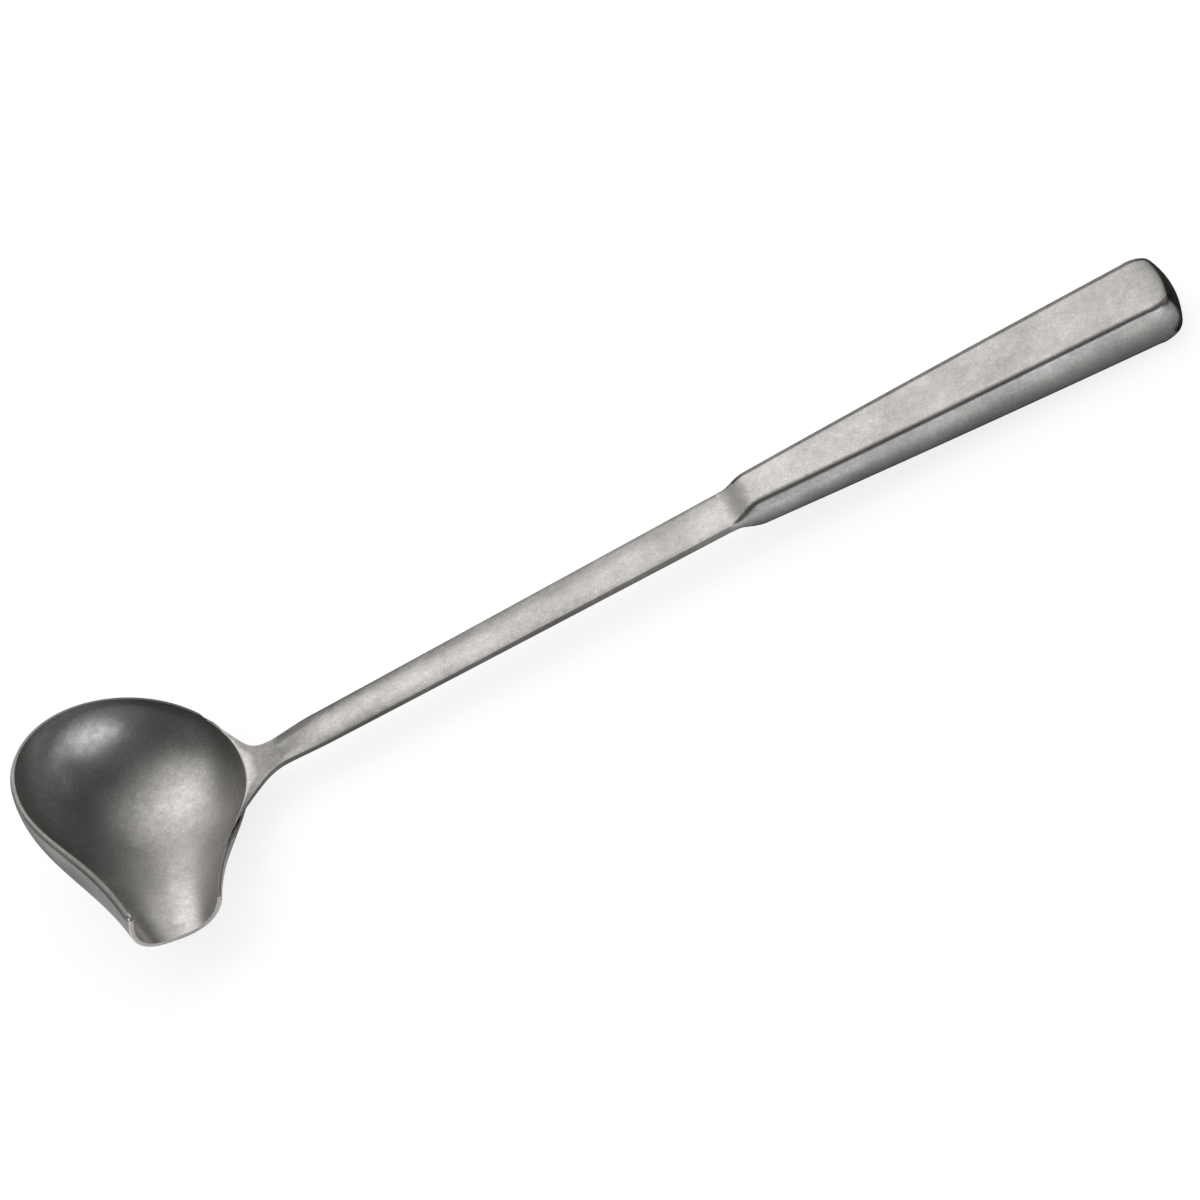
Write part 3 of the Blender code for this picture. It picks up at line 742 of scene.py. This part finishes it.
class Nodes:
    """Short way to write a node tree: make a node, set its sockets, link what feeds them."""

    def __init__(self, tree):
        self.tree = tree

    def add(self, kind, settings=None, **sockets):
        node = self.tree.nodes.new(kind)
        for key, value in (settings or {}).items():
            setattr(node, key, value)
        for key, value in sockets.items():
            self.feed(node, key.replace("_", " "), value)
        return node

    def feed(self, node, socket, value):
        target = node.inputs[int(socket)] if socket.isdigit() else node.inputs[socket]
        if isinstance(value, bpy.types.NodeSocket):
            self.tree.links.new(value, target)
        else:
            target.default_value = value

    def math(self, operation, first, second=0.0):
        node = self.tree.nodes.new("ShaderNodeMath")
        node.operation = operation
        self.feed(node, "0", first)
        self.feed(node, "1", second)
        return node.outputs[0]

    def map(self, value, low, high, to_low=0.0, to_high=1.0, smooth=False):
        node = self.tree.nodes.new("ShaderNodeMapRange")
        node.interpolation_type = "SMOOTHSTEP" if smooth else "LINEAR"
        for key, item in zip("01234", (value, low, high, to_low, to_high)):
            self.feed(node, key, item)
        return node.outputs[0]

    def noise(self, place, size, detail, roughness=0.55):
        """Noise whose grains are about a given size in metres."""
        node = self.add("ShaderNodeTexNoise", Vector=place, Scale=1.0 / size, Detail=detail,
                        Roughness=roughness)
        return node.outputs[0]


def stonewashed_steel(name, colour, roughness):
    """Steel tumbled with stones: matte, finely dented, in soft blotches, with painted shade darkening its
    edges, neck, shank and handle.
    """
    mat = bpy.data.materials.new(name)
    mat.use_nodes = True
    shader = mat.node_tree.nodes["Principled BSDF"]
    nodes = Nodes(mat.node_tree)
    place = nodes.add("ShaderNodeTexCoord").outputs["Object"]
    blotch = nodes.noise(place, BLOTCH_SIZE, 3.0)
    cloud = nodes.noise(place, CLOUD_SIZE, 2.0)
    grain = nodes.noise(place, GRAIN_SIZE, 2.0, 0.7)
    dents = nodes.map(grain, *DENT_RANGE, smooth=True)
    shade = nodes.add("ShaderNodeAttribute", {"attribute_name": "painted_edge_shade"}).outputs["Fac"]

    tone = nodes.map(blotch, *NOISE_RANGE, 1 - BLOTCH_DEPTH, 1 + BLOTCH_DEPTH)
    clouds = nodes.map(cloud, *NOISE_RANGE, 1 - CLOUD_DEPTH, 1 + CLOUD_DEPTH)
    tone = nodes.math("MULTIPLY", tone, clouds)
    grains = nodes.map(grain, *NOISE_RANGE, 1 - GRAIN_DEPTH, 1 + GRAIN_DEPTH)
    tone = nodes.math("MULTIPLY", tone, grains)
    tone = nodes.math("MULTIPLY", tone, nodes.map(dents, 0.0, 1.0, 1.0, 1 + DENT_DEPTH))
    # Painted shade and painted reflection from the per-vertex marks
    tone = nodes.math("MULTIPLY", tone, nodes.map(shade, 0.0, 1.0, 1.0, 1 - PAINTED_SHADE_DEPTH))
    # Painted shade: darker from the neck on, and again towards the tail
    along_ladle = nodes.add("ShaderNodeSeparateXYZ", Vector=place).outputs["X"]
    for painted_shade_ramp in (PAST_NECK_PAINTED_SHADE, TAIL_PAINTED_SHADE):
        tone = nodes.math("MULTIPLY", tone, nodes.map(along_ladle, *painted_shade_ramp, smooth=True))
    tint = nodes.add("ShaderNodeVectorMath", {"operation": "SCALE"}, **{"0": colour, "Scale": tone})
    nodes.feed(shader, "Base Color", tint.outputs[0])

    rough = nodes.map(blotch, *NOISE_RANGE, roughness + ROUGHNESS_SPREAD, roughness - ROUGHNESS_SPREAD)
    nodes.feed(shader, "Roughness", rough)

    relief = nodes.math("ADD", grain, nodes.math("MULTIPLY", blotch, BLOTCH_RELIEF))
    bump = nodes.add("ShaderNodeBump", Strength=BUMP_STRENGTH, Distance=GRAIN_RELIEF, Height=relief)
    nodes.feed(shader, "Normal", bump.outputs[0])
    shader.inputs["Metallic"].default_value = 1.0
    return mat


def pale_floor():
    """White to the camera; in the metal pale in front and far left of the ladle, elsewhere painted dim as
    shade.
    """
    mat = bpy.data.materials.new("pale_floor")
    mat.use_nodes = True
    nodes = Nodes(mat.node_tree)
    shader = mat.node_tree.nodes["Principled BSDF"]
    shader.inputs["Base Color"].default_value = (*FLOOR_COLOUR, 1.0)
    shader.inputs["Roughness"].default_value = 1.0
    shader.inputs["Specular IOR Level"].default_value = 0.0
    shader.inputs["Emission Color"].default_value = (1.0, 1.0, 1.0, 1.0)
    rays = nodes.add("ShaderNodeLightPath")
    in_metal = nodes.math("MAXIMUM", rays.outputs["Is Glossy Ray"], rays.outputs["Is Transmission Ray"])
    open_sky = nodes.add("ShaderNodeAmbientOcclusion", Distance=SHADOW_REACH).outputs["AO"]
    direct = nodes.map(open_sky, 0.0, 1.0, FLOOR_LIFT * (1 - FLOOR_SHADOW), FLOOR_LIFT)
    direct = nodes.math("MULTIPLY", direct, rays.outputs["Is Camera Ray"])
    position = nodes.add("ShaderNodeNewGeometry").outputs["Position"]
    spot = nodes.add("ShaderNodeSeparateXYZ", Vector=position)
    # Painted shade in the mirrored floor
    mirrored = nodes.map(spot.outputs["Y"], *FLOOR_FADE, FLOOR_DIMMEST, FLOOR_MIRROR, smooth=True)
    mirrored = nodes.math("MAXIMUM", mirrored, nodes.map(spot.outputs["X"], *FLOOR_LEFT, smooth=True))
    mirrored = nodes.math("MULTIPLY", nodes.math("MULTIPLY", mirrored, open_sky), in_metal)
    nodes.feed(shader, "Emission Strength", nodes.math("ADD", direct, mirrored))
    return mat


def make_card(name, corners, material):
    """Flat rectangle of the stage."""
    mesh = bpy.data.meshes.new(name)
    mesh.from_pydata(corners, [], [tuple(range(len(corners)))])
    mesh.materials.append(material)
    card = bpy.data.objects.new(name, mesh)
    bpy.context.scene.collection.objects.link(card)
    return card


def leave_to_mirrors(card):
    """Hide a card from everything but reflections."""
    card.visible_camera = False
    card.visible_shadow = False
    card.visible_diffuse = False


def build_stage():
    """Floor, and behind the tail two dark cards and a pale glowing one that only the metal mirrors:
    painted reflections of shade and of light.
    """
    h = FLOOR_SIZE / 2
    make_card("floor", [(-h, -h, 0), (h, -h, 0), (h, h, 0), (-h, h, 0)], pale_floor())
    dark = bpy.data.materials.new("dark_flag")
    dark.use_nodes = True
    shader = dark.node_tree.nodes["Principled BSDF"]
    shader.inputs["Base Color"].default_value = (*FLAG_COLOUR, 1.0)
    near, far = HANDLE_SIDE - FLAG_NEAR, HANDLE_SIDE + FLAG_FAR
    foot = cad_box[1][0] - FLAG_TUCK
    back = cad_box[1][0] + FLAG_GAP
    lying = [(foot, near, FLAG_LIFT), (back, near, FLAG_LIFT),
             (back, far, FLAG_LIFT), (foot, far, FLAG_LIFT)]
    standing = [(back, near, 0), (back, near, FLAG_HEIGHT), (back, far, FLAG_HEIGHT), (back, far, 0)]
    leave_to_mirrors(make_card("tail_flag_foot", lying, dark))
    leave_to_mirrors(make_card("tail_flag", standing, dark))
    glow = bpy.data.materials.new("tail_glow")
    glow.use_nodes = True
    shader = glow.node_tree.nodes["Principled BSDF"]
    shader.inputs["Base Color"].default_value = (0.0, 0.0, 0.0, 1.0)
    shader.inputs["Emission Color"].default_value = (1.0, 1.0, 1.0, 1.0)
    shader.inputs["Emission Strength"].default_value = GLOW_LEVEL
    left, right = HANDLE_SIDE - GLOW_SIDE, HANDLE_SIDE + GLOW_SIDE
    raised = [(back, left, FLAG_HEIGHT), (back, left, GLOW_HEIGHT),
              (back, right, GLOW_HEIGHT), (back, right, FLAG_HEIGHT)]
    leave_to_mirrors(make_card("tail_glow", raised, glow))


def direction(heading, height):
    """Unit vector from a compass heading about +Z and an angle above the floor, in degrees."""
    a, e = math.radians(heading), math.radians(height)
    return (math.cos(e) * math.cos(a), math.cos(e) * math.sin(a), math.sin(e))


# Each light: where it stands, its even middle and outer edge in degrees, its colour
SOFT_LIGHTS = [
    (direction(106.0, 58.0), 8.0, 57.0, (1.55, 1.53, 1.5)),
    (direction(90.0, 18.0), 6.0, 18.0, (1.9, 1.87, 1.84)),
    (direction(202.0, 6.0), 6.0, 26.0, (0.9, 0.9, 0.9)),
]


def build_light():
    """Soft lights high and low behind the ladle and past its bowl, a lamp in front, a dim room."""
    world = bpy.data.worlds.new("studio")
    world.use_nodes = True
    bpy.context.scene.world = world
    nodes = Nodes(world.node_tree)
    background = world.node_tree.nodes["Background"]
    facing = nodes.add("ShaderNodeTexCoord").outputs["Generated"]
    total = ROOM_COLOUR
    for axis, inner, outer, colour in SOFT_LIGHTS:
        dot = nodes.add("ShaderNodeVectorMath", {"operation": "DOT_PRODUCT"}, **{"0": facing, "1": axis})
        angle = nodes.math("ARCCOSINE", dot.outputs["Value"])
        level = nodes.map(angle, math.radians(outer), math.radians(inner), smooth=True)
        lit = nodes.add("ShaderNodeVectorMath", {"operation": "SCALE"}, **{"0": colour, "Scale": level})
        both = nodes.add("ShaderNodeVectorMath", {"operation": "ADD"}, **{"0": total, "1": lit.outputs[0]})
        total = both.outputs[0]
    nodes.feed(background, "Color", total)
    background.inputs["Strength"].default_value = 1.0
    data = bpy.data.lights.new("front_light", "AREA")
    data.shape = "RECTANGLE"
    data.size, data.size_y = FRONT_LIGHT_SIZE
    data.color = FRONT_LIGHT_COLOUR
    data.energy = FRONT_LIGHT_LEVEL * math.pi * data.size * data.size_y
    lamp = bpy.data.objects.new("front_light", data)
    bpy.context.scene.collection.objects.link(lamp)
    lamp.location = FRONT_LIGHT_PLACE
    aim = Vector(FRONT_LIGHT_AIM) - lamp.location
    lamp.rotation_euler = aim.to_track_quat("-Z", "Y").to_euler()
    lamp.visible_camera = False


def build_camera():
    """The photograph's camera, set by where it shows the rim and how large."""
    ce, se = math.cos(VIEW_ELEVATION), math.sin(VIEW_ELEVATION)
    towards = Vector((ce * math.cos(VIEW_HEADING), ce * math.sin(VIEW_HEADING), se))
    level = Vector((0, 0, 1)).cross(towards).normalized()
    up = towards.cross(level)
    cr, sr = math.cos(VIEW_ROLL), math.sin(VIEW_ROLL)
    right = cr * level + sr * up
    down = sr * level - cr * up
    focal = PIXELS_PER_METRE * VIEW_DISTANCE
    across = (RIM_CENTRE_PIXEL[0] - IMAGE_SIZE / 2) / focal * VIEW_DISTANCE
    below = (RIM_CENTRE_PIXEL[1] - IMAGE_SIZE / 2) / focal * VIEW_DISTANCE
    eye = towards * VIEW_DISTANCE - right * across - down * below
    data = bpy.data.cameras.new("camera")
    data.sensor_width = SENSOR_WIDTH
    data.lens = data.sensor_width * focal / IMAGE_SIZE
    data.clip_end = VIEW_END
    camera = bpy.data.objects.new("camera", data)
    bpy.context.scene.collection.objects.link(camera)
    axes = Matrix((right, -down, towards)).transposed().to_4x4()
    camera.matrix_world = TO_MODEL @ Matrix.Translation(eye) @ axes
    bpy.context.scene.camera = camera


def main():
    steel = stonewashed_steel("stonewashed_steel", STEEL_COLOUR, STEEL_ROUGHNESS)
    handle = Handle()
    build_blank(steel)
    build_shell("handle_upper_half", "handle_upper_shell", handle, False, steel)
    build_shell("handle_lower_half", "handle_lower_shell", handle, True, steel)
    build_seam(handle, steel)
    build_mouth("mouth_fillet_upper", "mouth_weld_upper", handle, False, steel)
    build_mouth("mouth_fillet_lower", "mouth_weld_lower", handle, True, steel)
    build_stage()
    build_light()
    build_camera()
    bpy.context.scene.view_settings.view_transform = "Standard"


main()
